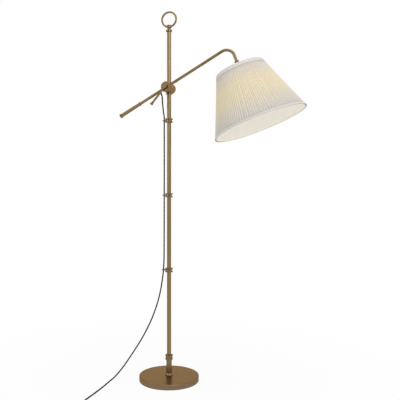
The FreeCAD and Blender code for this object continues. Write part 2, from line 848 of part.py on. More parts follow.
def make_knob():
    """Rotary switch knob and its shaft, level, on the rear side of the socket cap."""
    start = cap_neck_diameter / 2 + knob_gap
    knob = rounded_drum(knob_diameter / 2, start, start + knob_length, knob_edge_round)
    grip = Part.makeBox(knob_diameter, knob_diameter, knob_length - knob_collar,
                        vec(-knob_diameter / 2, knob_flat_width / 2, start + knob_collar))
    knob = knob.cut(grip).cut(grip.rotated(vec(0, 0, 0), vec(0, 0, 1), 180))
    shaft = Part.makeCylinder(knob_shaft_diameter / 2, knob_shaft_length + knob_shaft_overlap,
                              vec(0, 0, start - knob_shaft_length))
    body = knob.fuse(shaft).removeSplitter()
    body = body.rotated(vec(0, 0, 0), vec(0, 1, 0), -90).translated(vec(0, 0, -knob_drop))
    save("switch_knob", on_head(body))


def bulb_outline(top, globe_centre, inset):
    """Solid of the bulb's glass, drawn in from its outside by the inset."""
    globe_r = bulb_diameter / 2 - inset
    neck_r = bulb_neck_diameter / 2 - inset
    neck_low = top - bulb_neck_length
    side = math.radians(25)
    under = math.radians(40)
    join = (globe_r * math.cos(side), globe_centre + globe_r * math.sin(side))
    return curved([
        (0, top),
        (neck_r, top),
        (neck_r, neck_low),
        ((0.5 * (neck_r + join[0]) - 1.2, 0.5 * (neck_low + join[1])), join),
        ((globe_r * math.cos(under), globe_centre - globe_r * math.sin(under)), (0, globe_centre - globe_r)),
    ])


def make_bulb(contact_bottom):
    base_top = contact_bottom - bulb_gap
    base_low = base_top - bulb_base_length
    base_r = bulb_base_diameter / 2
    base = curved([
        (0, base_top),
        (bulb_base_tip_radius, base_top),
        (base_r, base_top - bulb_base_taper),
        (base_r, base_low),
        (0, base_low),
    ])
    globe_centre = base_low - bulb_glass_length + bulb_diameter / 2
    glass = bulb_outline(base_low, globe_centre, 0).cut(bulb_outline(base_low, globe_centre, bulb_wall))
    save("bulb_base", on_head(base))
    save("bulb_glass", on_head(glass))


# ---------------------------------------------------------------- shade
def radius_at(drop):
    """Outside radius of the shade, a distance below its top edge."""
    return shade_top_radius + slope * drop


def star(radius, depth, z):
    """Closed outline of pleats: points in turn on the outside and depth inside it."""
    points = []
    for i in range(2 * pleat_count):
        angle = math.pi * i / pleat_count
        r = radius - depth * (i % 2)
        points.append(vec(r * math.cos(angle), r * math.sin(angle), z))
    return Part.makePolygon(points + [points[0]])


def cone_shell(outset_outer, outset_inner, drop_top, drop_bottom):
    """A plain conical band, its two radii given as distances outside the shade's outline."""
    top = -shade_drop - drop_top
    low = -shade_drop - drop_bottom
    return turned([
        (radius_at(drop_top) + outset_outer, top),
        (radius_at(drop_bottom) + outset_outer, low),
        (radius_at(drop_bottom) + outset_inner, low),
        (radius_at(drop_top) + outset_inner, top),
    ])


def make_shade():
    """Pleated cover between two plain trims, with a smooth lining behind it."""
    top = -shade_drop
    low = -shade_drop - shade_height
    skin = trim_thickness + trim_clearance
    solids = []
    for inset in (skin, skin + cover_thickness):
        top_star = star(shade_top_radius - inset, pleat_depth_top, top)
        low_star = star(shade_bottom_radius - inset, pleat_depth_bottom, low)
        solids.append(Part.makeLoft([top_star, low_star], True, True))
    outer, inner = solids
    save("shade_cover", on_head(outer.cut(inner)))
    save("top_trim", on_head(cone_shell(0, -trim_thickness, 0, top_trim_height)))
    bottom_trim = cone_shell(0, -trim_thickness, shade_height - bottom_trim_height, shade_height)
    save("bottom_trim", on_head(bottom_trim))
    back = skin + cover_thickness + pleat_depth_bottom + lining_gap
    lining = cone_shell(-back, -back - lining_thickness,
                        shade_wire_diameter, shade_height - shade_wire_diameter)
    save("shade_lining", on_head(lining))
    return back + lining_thickness


def make_frame(inset, hub_drop):
    """Spider with the top wire, upright ribs and the bottom wire, all inside the lining."""
    wire_inset = inset + wire_radius + wire_clearance
    top_z = -shade_drop - wire_radius
    low_z = -shade_drop - shade_height + wire_radius
    top_r = radius_at(wire_radius) - wire_inset
    low_r = radius_at(shade_height - wire_radius) - wire_inset
    top_wire = Part.makeTorus(top_r, wire_radius, vec(0, 0, top_z), vec(0, 0, 1))
    low_wire = Part.makeTorus(low_r, wire_radius, vec(0, 0, low_z), vec(0, 0, 1))
    hub_r = spider_hub_outer_diameter / 2
    hub_z = hub_drop + wire_radius
    hub = ring_solid(hub_r, socket_radius + tube_clearance, hub_drop, hub_drop + shade_wire_diameter)
    spider = top_wire.fuse(hub)
    for i in range(spider_arm_count):
        angle = 2 * math.pi * (i + 0.5) / spider_arm_count
        way = vec(math.cos(angle), math.sin(angle), 0)
        start = way * (hub_r - 1.0) + vec(0, 0, hub_z)
        end = way * top_r + vec(0, 0, top_z)
        run = end - start
        spider = spider.fuse(Part.makeCylinder(wire_radius * spider_arm_share, run.Length, start, run))
    save("shade_spider", on_head(spider.removeSplitter()))
    save("shade_bottom_wire", on_head(low_wire))
    ribs = []
    start = vec(top_r, 0, top_z)
    end = vec(low_r, 0, low_z)
    way = end - start
    way.normalize()
    start = start + way * (wire_radius + face_gap)
    end = end - way * (wire_radius + face_gap)
    for i in range(rib_count):
        rib = Part.makeCylinder(wire_radius * rib_share, (end - start).Length, start, end - start)
        ribs.append(rib.rotated(vec(0, 0, 0), vec(0, 0, 1), 360.0 * i / rib_count))
    save("shade_ribs", on_head(Part.makeCompound(ribs)))


# ---------------------------------------------------------------- cord, coil, tie and plug
def make_cord_runs(grommet_low):
    rise = math.radians(arm_rise)
    down = vec(math.sin(rise), 0, -math.cos(rise))
    hole_x = -cord_hole_reach * math.cos(rise)
    centre = vec(hole_x, -arm_offset, knuckle_height - cord_hole_reach * math.sin(rise))
    exit_point = centre + down * -grommet_low
    clip_point = vec(-cord_offset, 0, top_clip_height)
    upper = [exit_point, exit_point + down * exit_straight] + [vec(*p) for p in upper_route]
    upper += [clip_point + vec(0, 0, clip_straight), clip_point]
    edges = rounded_route(upper, "cord_upper")
    solid = pipe(edges, cord_radius)
    save("cord_upper", solid)
    report_tube("cord_upper", solid, edges, cord_radius)
    coil_start = vec(coil_centre[0] - coil_outer_radius, coil_centre[1] + coil_lead, coil_level)
    lower = [clip_point] + [vec(*p) for p in lower_route]
    lower += [coil_start + vec(0, coil_straight, 0), coil_start]
    edges = rounded_route(lower, "cord_lower")
    solid = pipe(edges, cord_radius)
    save("cord_lower", solid)
    report_tube("cord_lower", solid, edges, cord_radius)
    print("exit", exit_point, "coil start", coil_start)


def coil_edges():
    """Half turns that spiral in, climb a layer while reversing, and spiral out again."""
    here = vec(coil_centre[0] - coil_outer_radius, coil_centre[1], coil_level)
    lead_in = Part.LineSegment(here + vec(0, coil_lead, 0), here).toShape()
    edges = [lead_in]
    way = vec(0, -1, 0)
    side = 1.0
    climb_index = coil_half_turns_in
    radii = coil_turn_radii + [coil_inner_radius] + coil_return_radii
    for i, radius in enumerate(radii):
        low = here.z
        lift = coil_pitch if i == climb_index else 0.0
        centre = vec(here.x + side * radius, here.y, low)
        bottom = vec(centre.x, centre.y + way.y * radius, low + lift / 2)
        end = vec(centre.x + side * radius, centre.y, low + lift)
        climb = 1.5 * lift / (math.pi * radius)
        across = vec(side, 0, climb)
        across.normalize()
        back = vec(0, -way.y, 0)
        edges += biarc(here, way, bottom, across)
        edges += biarc(bottom, across, end, back)
        here = end
        way = back
        side = -side
    edges.append(Part.LineSegment(here, here + way * coil_lead).toShape())
    return edges, here + way * coil_lead, way


def least_gap(edges):
    """Least distance between parts of the coil that are more than four diameters apart along it."""
    points = []
    along = 0.0
    for edge in edges:
        steps = max(2, int(edge.Length / 2.0))
        first = edge.FirstParameter
        last = edge.LastParameter
        for i in range(steps):
            point = edge.valueAt(first + (last - first) * i / steps)
            points.append((along + edge.Length * i / steps, point.x, point.y, point.z))
        along += edge.Length
    least = 1e9
    for i, a in enumerate(points):
        for b in points[i + 1:]:
            if b[0] - a[0] > 4 * cord_diameter:
                least = min(least, (a[1] - b[1]) ** 2 + (a[2] - b[2]) ** 2 + (a[3] - b[3]) ** 2)
    return math.sqrt(least) - cord_diameter


def make_coil():
    edges, end, way = coil_edges()
    solid = pipe(edges, cord_radius)
    save("cord_coil", solid)
    report_tube("cord_coil", solid, edges, cord_radius)
    print("coil least gap to itself", round(least_gap(edges), 3))
    return end, way


def make_tie():
    """Band round the bundle of turns, on the side away from the plug."""
    inner_r = coil_inner_radius - cord_radius - tie_clearance
    outer_r = coil_outer_radius + cord_radius + coil_pitch / 4 + tie_clearance
    top = coil_level + coil_pitch + cord_radius + tie_clearance / 2
    x0 = inner_r - tie_thickness
    width = outer_r - inner_r + 2 * tie_thickness
    outer = Part.makeBox(width, tie_width, top + tie_thickness, vec(x0, -tie_width / 2, 0))
    inner = Part.makeBox(outer_r - inner_r, tie_width + 2, top - tie_thickness,
                         vec(inner_r, -tie_width / 2 - 1, tie_thickness))
    band = outer.cut(inner)
    long_edges = [e for e in band.Edges if abs(e.tangentAt(e.FirstParameter).y) > 0.99]
    corner_edges = [e for e in long_edges
                    if e.BoundBox.XMin < x0 + 0.01 or e.BoundBox.XMax > x0 + width - 0.01]
    band = band.makeFillet(tie_thickness * 0.6, corner_edges)
    save("cord_tie", band.translated(vec(coil_centre[0], coil_centre[1], 0)))


def make_plug(end, way):
    """Strain relief, moulded body and two flat pins, lying beside the coil."""
    relief_r = plug_relief_diameter / 2
    relief = Part.makeCone(cord_radius + plug_relief_lip, relief_r, plug_relief_length)
    half_w = plug_width / 2
    half_h = end.z
    back = plug_shoulder * plug_length
    sections = []
    start = (0, relief_r + plug_relief_lip, relief_r + plug_relief_lip)
    for z, w, h in (start, (back, half_w, half_h), (plug_length, half_w, half_h)):
        corner = plug_corner_share * h
        box = Part.makeBox(2 * w, 2 * h, 1.0, vec(-w, -h, z))
        upright = [e for e in box.Edges if abs(e.tangentAt(e.FirstParameter).z) > 0.99]
        face = [f for f in box.makeFillet(corner, upright).Faces if abs(f.CenterOfMass.z - z) < 0.01][0]
        sections.append(face.OuterWire)
    body = Part.makeLoft(sections, True, True).translated(vec(0, 0, plug_relief_length))
    body = body.fuse(relief).removeSplitter()
    pins = []
    pin_start = plug_relief_length + plug_length
    for side in (-1, 1):
        x = side * pin_spacing / 2 - pin_thickness / 2
        pins.append(Part.makeBox(pin_thickness, pin_width, pin_length, vec(x, -pin_width / 2, pin_start)))
    for name, shape in (("plug_body", body), ("plug_pins", Part.makeCompound(pins))):
        turned_shape = shape.rotated(vec(0, 0, 0), vec(1, 0, 0), -90 * way.y)
        save(name, turned_shape.translated(end))


def make_all():
    os.makedirs("parts", exist_ok=True)
    make_base()
    make_foot_and_sleeve()
    make_lower_collar()
    make_couplings()
    make_poles()
    make_ring_top()
    make_clips()
    make_bush()
    make_pole_clamp()
    make_pivot()
    make_arm_clamp()
    make_lever()
    make_arm_tube()
    grommet_low = make_grommet()
    make_counterweight()
    make_head_fixings()
    contact_bottom, ring_top = make_socket()
    make_knob()
    make_bulb(contact_bottom)
    frame_inset = make_shade()
    make_frame(frame_inset, ring_top)
    make_cord_runs(grommet_low)
    end, way = make_coil()
    make_tie()
    make_plug(end, way)


make_all()
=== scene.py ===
import math
import random

import bpy
import numpy as np
from mathutils import Matrix, Vector


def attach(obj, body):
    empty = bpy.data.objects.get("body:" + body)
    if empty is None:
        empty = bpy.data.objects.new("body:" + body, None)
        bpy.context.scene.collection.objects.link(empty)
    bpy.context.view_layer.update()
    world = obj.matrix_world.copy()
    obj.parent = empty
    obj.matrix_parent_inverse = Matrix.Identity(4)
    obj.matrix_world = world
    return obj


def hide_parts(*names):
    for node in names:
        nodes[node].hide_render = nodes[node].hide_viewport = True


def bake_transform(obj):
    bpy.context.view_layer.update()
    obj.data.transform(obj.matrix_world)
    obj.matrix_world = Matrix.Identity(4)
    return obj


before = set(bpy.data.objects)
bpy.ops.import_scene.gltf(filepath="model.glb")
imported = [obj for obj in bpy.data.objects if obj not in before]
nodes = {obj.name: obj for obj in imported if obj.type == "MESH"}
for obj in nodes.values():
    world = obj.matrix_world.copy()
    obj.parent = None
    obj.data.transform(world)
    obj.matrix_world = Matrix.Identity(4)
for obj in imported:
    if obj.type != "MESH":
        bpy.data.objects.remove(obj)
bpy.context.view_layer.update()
rng = random.Random(7)

# ---- camera: the photograph's place and angle ----
camera_place = (0.748155, -2.296612, 0.824)
camera_turn = 17.0
camera_lens = 50.895
camera_shift = (0.0516, -0.0328)

# ---- sizes repeated from the part's source, in metres ----
arm_tip_place = (0.299009, -0.0335, 1.334292)
head_lean = 20.8
shade_drop = 0.0326
shade_height = 0.2421
shade_top_radius = 0.1001
shade_bottom_radius = 0.1943
shade_skin = 0.00055
top_trim_height = 0.017
bottom_trim_height = 0.009
cord_diameter = 0.0064
clip_place = Vector((-0.0216, 0.0, 1.1072))

# ---- light and floor ----
world_strength = 0.60
floor_half_width = 14.0
floor_colour = (0.86, 0.86, 0.85, 1)
floor_fade_from = 0.25
floor_fade_to = 1.3
floor_white_near = 0.92
card_width = 1.5
card_height = 3.8

# ---- metal and cloth ----
metal_edge_tint = (0.74, 0.60, 0.46, 1)
ramp_low = 0.3
ramp_high = 0.7
cloud_scale = 9.0
cloud_detail = 3.0
bump_depth = 0.0004
# painted light: strength of the lining's glow
lining_painted_light = 0.17
strand_specular = 0.05

# ---- pleats and bands ----
pleat_count = 120
pleat_columns = 8
pleat_rows = 16
pleat_width_spread = 0.13
pleat_wander_spread = 0.16
pleat_lean_spread = 0.10
pleat_least_depth = 0.72
fold_at_top = 0.0016
fold_growth = 0.0014
crest_roundness = 0.45
cloth_thickness = 0.0007
band_columns = 360
band_thickness = 0.0006
band_ripple = 0.00012
band_edge_wander = 0.0007
band_waves = 9

# ---- cord ----
cord_pitch = 0.0166
strand_radius = 0.0027
strand_sides = 8
cord_step = 0.0015
arm_piece_end = 0.30
knuckle_piece_end = 0.60
coil_centre_y = -0.418
coil_start_x = -0.2353
coil_start_height = 0.0042
coil_climb_turn = 6
coil_layer_lift = 0.0069
coil_points_per_half = 6
coil_swell_share = 0.6
coil_lead = 0.007


def camera_and_light():
    """The camera, soft lamps and a white backdrop."""
    data = bpy.data.cameras.new("camera")
    data.lens = camera_lens
    data.shift_x, data.shift_y = camera_shift
    camera = bpy.data.objects.new("camera", data)
    camera.location = camera_place
    camera.rotation_euler = (math.radians(90), 0, math.radians(camera_turn))
    bpy.context.scene.collection.objects.link(camera)
    bpy.context.scene.camera = camera
    bpy.context.scene.view_settings.view_transform = "Standard"

    # name, place, width, power
    lamps = [
        ("key", (2.3, -1.9, 2.2), 1.5, 20.0),
        ("fill", (-2.2, -1.9, 1.5), 1.5, 13.0),
        ("top", (0.3, -0.4, 3.4), 2.0, 18.0),
    ]
    aim = Vector((0.1, 0.0, 0.85))
    for name, place, size, power in lamps:
        lamp = bpy.data.lights.new(name, "AREA")
        lamp.shape = "DISK"
        lamp.size = size
        lamp.energy = power
        obj = bpy.data.objects.new(name, lamp)
        obj.location = place
        obj.rotation_euler = (aim - Vector(place)).to_track_quat("-Z", "Y").to_euler()
        bpy.context.scene.collection.objects.link(obj)

    world = bpy.data.worlds.new("world")
    bpy.context.scene.world = world
    world.use_nodes = True
    tree = world.node_tree
    tree.nodes.clear()
    output = tree.nodes.new("ShaderNodeOutputWorld")
    mix = tree.nodes.new("ShaderNodeMixShader")
    soft = tree.nodes.new("ShaderNodeBackground")
    white = tree.nodes.new("ShaderNodeBackground")
    soft.inputs["Color"].default_value = (1, 1, 1, 1)
    soft.inputs["Strength"].default_value = world_strength
    white.inputs["Color"].default_value = (1, 1, 1, 1)
    white.inputs["Strength"].default_value = 1.0
    tree.links.new(seen_directly(tree), mix.inputs["Fac"])
    tree.links.new(soft.outputs[0], mix.inputs[1])
    tree.links.new(white.outputs[0], mix.inputs[2])
    tree.links.new(mix.outputs[0], output.inputs["Surface"])


def seen_directly(tree):
    """1 for camera, glossy and transmission rays."""
    path = tree.nodes.new("ShaderNodeLightPath")
    first = tree.nodes.new("ShaderNodeMath")
    first.operation = "MAXIMUM"
    second = tree.nodes.new("ShaderNodeMath")
    second.operation = "MAXIMUM"
    tree.links.new(path.outputs["Is Camera Ray"], first.inputs[0])
    tree.links.new(path.outputs["Is Glossy Ray"], first.inputs[1])
    tree.links.new(first.outputs[0], second.inputs[0])
    tree.links.new(path.outputs["Is Transmission Ray"], second.inputs[1])
    return second.outputs[0]


def new_mesh(name, points, faces, smooth=True):
    """An object in the scene, made from points and faces."""
    mesh = bpy.data.meshes.new(name)
    mesh.from_pydata([tuple(p) for p in points], [], faces)
    mesh.update()
    if smooth:
        mesh.polygons.foreach_set("use_smooth", [True] * len(mesh.polygons))
    obj = bpy.data.objects.new(name, mesh)
    bpy.context.scene.collection.objects.link(obj)
    return obj


def make_floor():
    """A pale floor that takes the lamp's shadow and fades to white away from it."""
    size = floor_half_width
    corners = [(-size, -size, 0), (size, -size, 0), (size, size, 0), (-size, size, 0)]
    floor = new_mesh("floor", corners, [(0, 1, 2, 3)], False)
    material = bpy.data.materials.new("floor_paint")
    material.use_nodes = True
    tree = material.node_tree
    tree.nodes.clear()
    output = tree.nodes.new("ShaderNodeOutputMaterial")
    paint = tree.nodes.new("ShaderNodeBsdfDiffuse")
    paint.inputs["Color"].default_value = floor_colour
    glow = tree.nodes.new("ShaderNodeEmission")
    glow.inputs["Color"].default_value = (1, 1, 1, 1)
    glow.inputs["Strength"].default_value = 1.0
    mix = tree.nodes.new("ShaderNodeMixShader")
    share = tree.nodes.new("ShaderNodeMath")
    share.operation = "MULTIPLY"
    coordinates = tree.nodes.new("ShaderNodeTexCoord")
    length = tree.nodes.new("ShaderNodeVectorMath")
    length.operation = "LENGTH"
    fade = tree.nodes.new("ShaderNodeMapRange")
    fade.inputs["From Min"].default_value = floor_fade_from
    fade.inputs["From Max"].default_value = floor_fade_to
    fade.inputs["To Min"].default_value = floor_white_near
    fade.inputs["To Max"].default_value = 1.0
    tree.links.new(coordinates.outputs["Object"], length.inputs[0])
    tree.links.new(length.outputs["Value"], fade.inputs["Value"])
    tree.links.new(seen_directly(tree), share.inputs[0])
    tree.links.new(fade.outputs[0], share.inputs[1])
    tree.links.new(share.outputs[0], mix.inputs["Fac"])
    tree.links.new(paint.outputs[0], mix.inputs[1])
    tree.links.new(glow.outputs[0], mix.inputs[2])
    tree.links.new(mix.outputs[0], output.inputs["Surface"])
    floor.data.materials.append(material)


def reflector_card(name, place, shade):
    """A dark studio card that only reflections see, turned towards the lamp."""
    x = card_width / 2
    z = card_height / 2
    card = new_mesh(name, [(-x, 0, -z), (x, 0, -z), (x, 0, z), (-x, 0, z)], [(0, 1, 2, 3)], False)
    card.location = place
    card.rotation_euler = (0, 0, math.atan2(-place[0], place[1]))
    material = bpy.data.materials.new(name)
    material.use_nodes = True
    shader = material.node_tree.nodes["Principled BSDF"]
    shader.inputs["Base Color"].default_value = (shade, shade, shade, 1)
    shader.inputs["Roughness"].default_value = 1.0
    card.data.materials.append(material)
    card.visible_camera = False
    card.visible_diffuse = False
    card.visible_shadow = False


# ---------------------------------------------------------------- materials
def surface(name, dark, light, metallic=0.0, roughness=0.5, scale=(60, 60, 60), detail=6.0,
            bump=0.0, rough_span=0.0, sheen=0.0, coat=0.0, around=False, coarse=0.0):
    """Noise between two colours, with roughness and bump from the same noise.

    around lays the noise in rings round the Z axis, as a lathe leaves its marks, and coarse
    is how much broad clouds lighten and darken the colour.
    """
    material = bpy.data.materials.new(name)
    material.use_nodes = True
    tree = material.node_tree
    shader = tree.nodes["Principled BSDF"]
    shader.inputs["Metallic"].default_value = metallic
    shader.inputs["Roughness"].default_value = roughness
    shader.inputs["Sheen Weight"].default_value = sheen
    shader.inputs["Coat Weight"].default_value = coat
    if metallic == 1.0:
        shader.inputs["Specular Tint"].default_value = metal_edge_tint
    coordinates = tree.nodes.new("ShaderNodeTexCoord")
    place = coordinates.outputs["Object"]
    if around:
        split = tree.nodes.new("ShaderNodeSeparateXYZ")
        tree.links.new(place, split.inputs[0])
        flat = tree.nodes.new("ShaderNodeCombineXYZ")
        tree.links.new(split.outputs["X"], flat.inputs["X"])
        tree.links.new(split.outputs["Y"], flat.inputs["Y"])
        length = tree.nodes.new("ShaderNodeVectorMath")
        length.operation = "LENGTH"
        tree.links.new(flat.outputs[0], length.inputs[0])
        join = tree.nodes.new("ShaderNodeCombineXYZ")
        tree.links.new(length.outputs["Value"], join.inputs["X"])
        tree.links.new(split.outputs["Z"], join.inputs["Z"])
        place = join.outputs[0]
    mapping = tree.nodes.new("ShaderNodeMapping")
    mapping.inputs["Scale"].default_value = scale
    noise = tree.nodes.new("ShaderNodeTexNoise")
    noise.inputs["Scale"].default_value = 1.0
    noise.inputs["Detail"].default_value = detail
    tree.links.new(place, mapping.inputs["Vector"])
    tree.links.new(mapping.outputs[0], noise.inputs["Vector"])
    ramp = tree.nodes.new("ShaderNodeValToRGB")
    ramp.color_ramp.elements[0].position = ramp_low
    ramp.color_ramp.elements[0].color = (*dark, 1)
    ramp.color_ramp.elements[1].position = ramp_high
    ramp.color_ramp.elements[1].color = (*light, 1)
    tree.links.new(noise.outputs["Fac"], ramp.inputs["Fac"])
    colour = ramp.outputs["Color"]
    if coarse:
        cloud = tree.nodes.new("ShaderNodeTexNoise")
        cloud.inputs["Scale"].default_value = cloud_scale
        cloud.inputs["Detail"].default_value = cloud_detail
        tree.links.new(coordinates.outputs["Object"], cloud.inputs["Vector"])
        level = tree.nodes.new("ShaderNodeMapRange")
        level.inputs["To Min"].default_value = 1.0 - coarse
        level.inputs["To Max"].default_value = 1.0 + coarse
        tree.links.new(cloud.outputs["Fac"], level.inputs["Value"])
        times = tree.nodes.new("ShaderNodeVectorMath")
        times.operation = "MULTIPLY"
        tree.links.new(colour, times.inputs[0])
        tree.links.new(level.outputs[0], times.inputs[1])
        colour = times.outputs[0]
    tree.links.new(colour, shader.inputs["Base Color"])
    if rough_span:
        spread = tree.nodes.new("ShaderNodeMapRange")
        spread.inputs["To Min"].default_value = roughness - rough_span
        spread.inputs["To Max"].default_value = roughness + rough_span
        tree.links.new(noise.outputs["Fac"], spread.inputs["Value"])
        tree.links.new(spread.outputs[0], shader.inputs["Roughness"])
    if bump:
        height = tree.nodes.new("ShaderNodeBump")
        height.inputs["Strength"].default_value = bump
        height.inputs["Distance"].default_value = bump_depth
        tree.links.new(noise.outputs["Fac"], height.inputs["Height"])
        tree.links.new(height.outputs[0], shader.inputs["Normal"])
    return material


def paint_nodes():
    """Give each CAD node the material of its kind."""
    pole_brass = surface("pole_brass", (0.238, 0.164, 0.082), (0.272, 0.190, 0.096), 1.0, 0.30,
                         (200, 200, 5), 3.0, rough_span=0.02, coarse=0.03)
    spun_brass = surface("spun_brass", (0.168, 0.108, 0.060), (0.258, 0.180, 0.106), 1.0, 0.30,
                         (700, 700, 300), 3.0, 0.02, rough_span=0.04, around=True, coarse=0.04)
    plain_brass = surface("plain_brass", (0.200, 0.130, 0.066), (0.270, 0.184, 0.096), 1.0, 0.26,
                          (160, 160, 160), 4.0, rough_span=0.02, coarse=0.04)
    arm_brass = surface("arm_brass", (0.190, 0.122, 0.054), (0.290, 0.200, 0.094), 1.0, 0.28,
                        (12, 420, 60), 3.0, rough_span=0.02, coarse=0.04)
    inner_brass = surface("inner_brass", (0.50, 0.36, 0.15), (0.62, 0.46, 0.20), 1.0, 0.28,
                          (300, 300, 300))
    iron = surface("cast_iron", (0.03, 0.03, 0.03), (0.07, 0.07, 0.065), 0.3, 0.75,
                   (180, 180, 180), bump=0.5)
    zinc = surface("zinc_steel", (0.42, 0.42, 0.41), (0.56, 0.56, 0.54), 1.0, 0.35, (200, 200, 200))
    felt = surface("felt", (0.012, 0.014, 0.012), (0.035, 0.038, 0.034), 0.0, 0.95,
                   (900, 900, 900), bump=0.6, sheen=0.3)
    fibre = surface("fibre", (0.09, 0.035, 0.02), (0.13, 0.055, 0.03), 0.0, 0.7, (400, 400, 400))
    rubber = surface("black_rubber", (0.010, 0.010, 0.010), (0.022, 0.022, 0.022), 0.0, 0.48,
                     (500, 500, 500), bump=0.1)
    phenolic = surface("phenolic", (0.016, 0.012, 0.010), (0.03, 0.022, 0.018), 0.0, 0.3,
                       (120, 120, 120))
    wire = surface("frame_wire", (0.60, 0.56, 0.46), (0.68, 0.64, 0.54), 0.2, 0.4, (150, 150, 150))
    lining = surface("shade_lining", (0.82, 0.80, 0.75), (0.86, 0.84, 0.79), 0.0, 0.6,
                     (80, 80, 80), bump=0.05)
    # painted light: the lining glows a little, standing in for the bulb's light inside the shade
    glow = lining.node_tree.nodes["Principled BSDF"]
    glow.inputs["Emission Color"].default_value = (1.0, 0.90, 0.72, 1)
    glow.inputs["Emission Strength"].default_value = lining_painted_light
    glass = surface("bulb_glass", (0.86, 0.85, 0.80), (0.90, 0.89, 0.85), 0.0, 0.25,
                    (60, 60, 60), coat=0.3)
    kinds = [
        (pole_brass, "pole_tube_1 pole_tube_2 pole_tube_3 pole_tube_4 lower_sleeve slide_bush"),
        (spun_brass, "base_cover stem_foot lower_collar coupling_1 coupling_2 coupling_3 "
                     "finial_seat"),
        (plain_brass, "finial_ring pole_clamp arm_clamp lock_lever counterweight_collar "
                      "counterweight_cap head_collar socket_cap switch_knob shade_ring "
                      "cord_clip_1 cord_clip_2 cord_clip_3"),
        (arm_brass, "arm_tube counterweight"),
        (inner_brass, "head_nipple screw_shell centre_contact bulb_base coupling_nipples "
                      "pole_plug plug_pins"),
        (iron, "base_weight"),
        (zinc, "base_nut base_washer centre_rod pole_lock_screw pivot_stud"),
        (felt, "base_pad"),
        (fibre, "friction_washer"),
        (rubber, "cord_grommet plug_body cord_tie"),
        (phenolic, "socket_body"),
        (wire, "shade_spider"),
        (lining, "shade_lining shade_ribs shade_bottom_wire"),
        (glass, "bulb_glass"),
    ]
    for material, names in kinds:
        for name in names.split():
            mesh = nodes[name].data
            mesh.materials.clear()
            mesh.materials.append(material)


# ---------------------------------------------------------------- cord
def route_points(points):
    """Points of the smooth spline that has the route's points as its control points."""
    curve = bpy.data.curves.new("route", "CURVE")
    curve.dimensions = "3D"
    spline = curve.splines.new("NURBS")
    spline.points.add(len(points) - 1)
    for target, point in zip(spline.points, points):
        target.co = (*point, 1.0)
    spline.order_u = 3
    spline.use_endpoint_u = True
    spline.resolution_u = 40
    holder = bpy.data.objects.new("route", curve)
    mesh = bpy.data.meshes.new_from_object(holder)
    line = np.array([v.co for v in mesh.vertices], float)
    bpy.data.objects.remove(holder)
    bpy.data.meshes.remove(mesh)
    return line


def even_line(line, step):
    """The same line with its points about a step apart, and its length."""
    lengths = np.concatenate([[0.0], np.cumsum(np.linalg.norm(np.diff(line, axis=0), axis=1))])
    count = max(8, int(round(lengths[-1] / step)))
    at = np.linspace(0, lengths[-1], count + 1)
    return np.stack([np.interp(at, lengths, line[:, i]) for i in range(3)], axis=1), lengths[-1]


def carried_frames(line):
    """Tangent and two side directions along a line, without twist of their own."""
    tangents = np.gradient(line, axis=0)
    tangents /= np.linalg.norm(tangents, axis=1)[:, None]
    side = Vector((0, 1, 0))
    frames = []
    for t in tangents:
        t = Vector(t)
        side = (side - t * side.dot(t)).normalized()
        frames.append((t, side, t.cross(side)))
    return frames


def twisted_pair(name, line, frames, first, last, start_length):
    """Two black strands wound round part of a line; the second has a grey painted highlight on its
    outer side.

    start_length is the cord's length before the line, so that the twist runs on.
    """
    points = []
    faces = []
    kinds = []
    step = float(np.linalg.norm(line[1] - line[0]))
    for strand in range(2):
        base = len(points)
        for i in range(first, last + 1):
            turn = 2 * math.pi * (start_length + i * step) / cord_pitch + strand * math.pi
            _, a, b = frames[i]
            outward = a * math.cos(turn) + b * math.sin(turn)
            centre = Vector(line[i]) + outward * (cord_diameter / 2 - strand_radius)
            for j in range(strand_sides):
                angle = turn + 2 * math.pi * j / strand_sides
                points.append(centre + (a * math.cos(angle) + b * math.sin(angle)) * strand_radius)
        rings = last - first
        for i in range(rings):
            for j in range(strand_sides):
                k = (j + 1) % strand_sides
                low = base + i * strand_sides
                faces.append((low + j, low + k, low + strand_sides + k, low + strand_sides + j))
                # painted highlight: the second strand's outer faces take the grey material
                kinds.append(strand if j in (0, strand_sides - 1) else 0)
        faces.append(tuple(base + j for j in reversed(range(strand_sides))))
        faces.append(tuple(base + rings * strand_sides + j for j in range(strand_sides)))
        kinds += [0, 0]
    obj = new_mesh(name, points, faces)
    for material in strand_materials:
        obj.data.materials.append(material)
    obj.data.polygons.foreach_set("material_index", kinds)
    return obj


def coil_points():
    """Control points of the put-away coil: half turns in, one up a layer, and out again."""
    radii_in = [0.0419, 0.03845, 0.035, 0.03155, 0.0281, 0.02465]
    radii_out = [0.0212, 0.02465, 0.0281, 0.03155, 0.035, 0.03845]
    swell = 1.0 / math.cos(math.pi / 2 / coil_points_per_half)
    here = coil_start_x
    height = coil_start_height
    points = []
    for i, radius in enumerate(radii_in + radii_out):
        side = 1.0 if i % 2 == 0 else -1.0
        lift = coil_layer_lift if i == coil_climb_turn else 0.0
        centre_x = here + side * radius
        for j in range(coil_points_per_half):
            share = (j + 0.5) / coil_points_per_half
            angle = math.pi * (1 + i + share)
            reach = radius * (1 + (swell - 1) * coil_swell_share)
            points.append((centre_x + reach * math.cos(angle),
                           coil_centre_y + reach * math.sin(angle), height + lift * share))
        here = centre_x + side * radius
        height += lift
    points.append((here, coil_centre_y - coil_lead, height))
    return points


